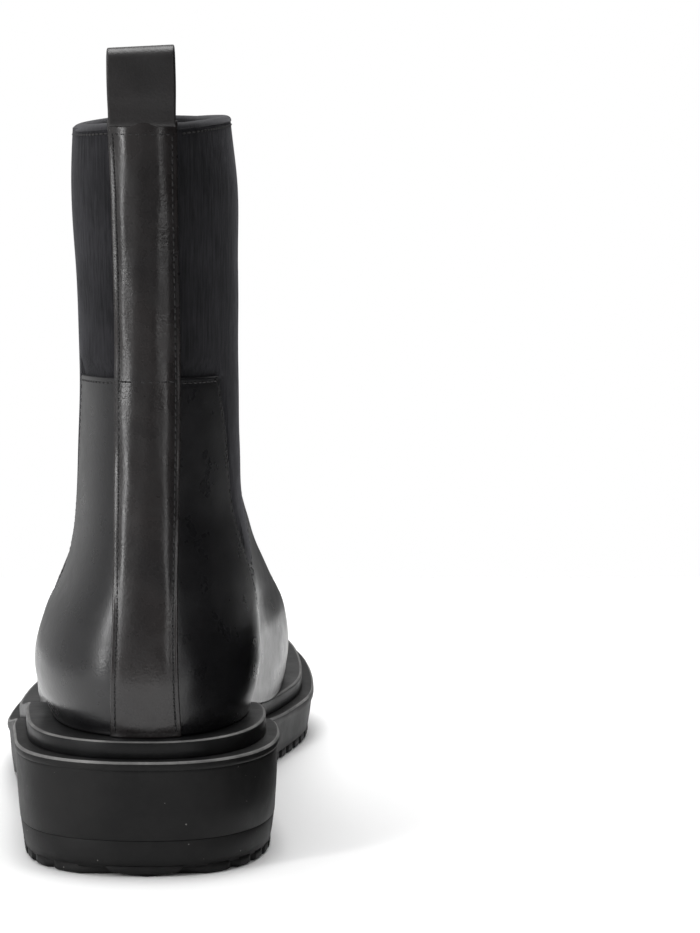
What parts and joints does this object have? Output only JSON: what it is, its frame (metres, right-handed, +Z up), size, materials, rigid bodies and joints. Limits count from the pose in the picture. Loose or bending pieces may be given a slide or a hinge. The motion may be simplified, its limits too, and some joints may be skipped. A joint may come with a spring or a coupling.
{
  "type": "chelsea boot",
  "caption": "Tall black pull-on chelsea boot with wide elastic sides, a back strap ending in a pull loop, and a thick lugged rubber sole with a block heel.",
  "frame": {"origin": "on the ground, at the middle of the boot's bounding box", "axes": "+Y towards the toe, +X towards the inner side of the foot, +Z up"},
  "size_m": [0.1176, 0.318, 0.2773],
  "materials": {
    "upper_leather": "semi-gloss smooth calf",
    "quarter_leather": "polished calf",
    "strap_leather": "semi-gloss smooth calf",
    "loop_leather": "satin calf",
    "elastic": "matte ribbed elastic",
    "binding": "matte folded tape",
    "lining": "matte lining leather",
    "stiffener": "matte",
    "footbed": "matte",
    "foam": "matte foam",
    "board": "matte cellulose board",
    "steel": "brushed",
    "rivet_steel": "brushed",
    "cork": "matte cork",
    "midsole_rubber": "semi-matte",
    "sole_rubber": "semi-matte",
    "tread_rubber": "matte",
    "nail_brass": "plain"
  },
  "bodies": {
    "boot": {"vamp": "upper_leather", "shaft_front": "upper_leather", "quarter_medial": "quarter_leather", "quarter_lateral": "quarter_leather", "back_strap": "strap_leather", "gusset_medial": "elastic", "gusset_lateral": "elastic", "topline_binding": "binding", "lining_front": "lining", "lining_back": "lining", "heel_counter": "stiffener", "toe_puff": "stiffener", "footbed": "footbed", "heel_pad": "foam", "insole_board": "board", "shank": "steel", "shank_rivets": "rivet_steel", "bottom_filler": "cork", "midsole": "midsole_rubber", "outsole": "sole_rubber", "heel_block": "sole_rubber", "heel_lift": "tread_rubber", "heel_nails": "nail_brass"},
    "loop": {"pull_loop": "loop_leather"}
  },
  "joints": [
    {"name": "loop_fold", "type": "hinge", "parent": "boot", "child": "loop", "pos_m": [0.00557, -0.14467, 0.254], "axis": [1, 0, 0], "range_deg": [-70, 70], "stiffness_Nm_per_rad": 0.012}
  ]
}
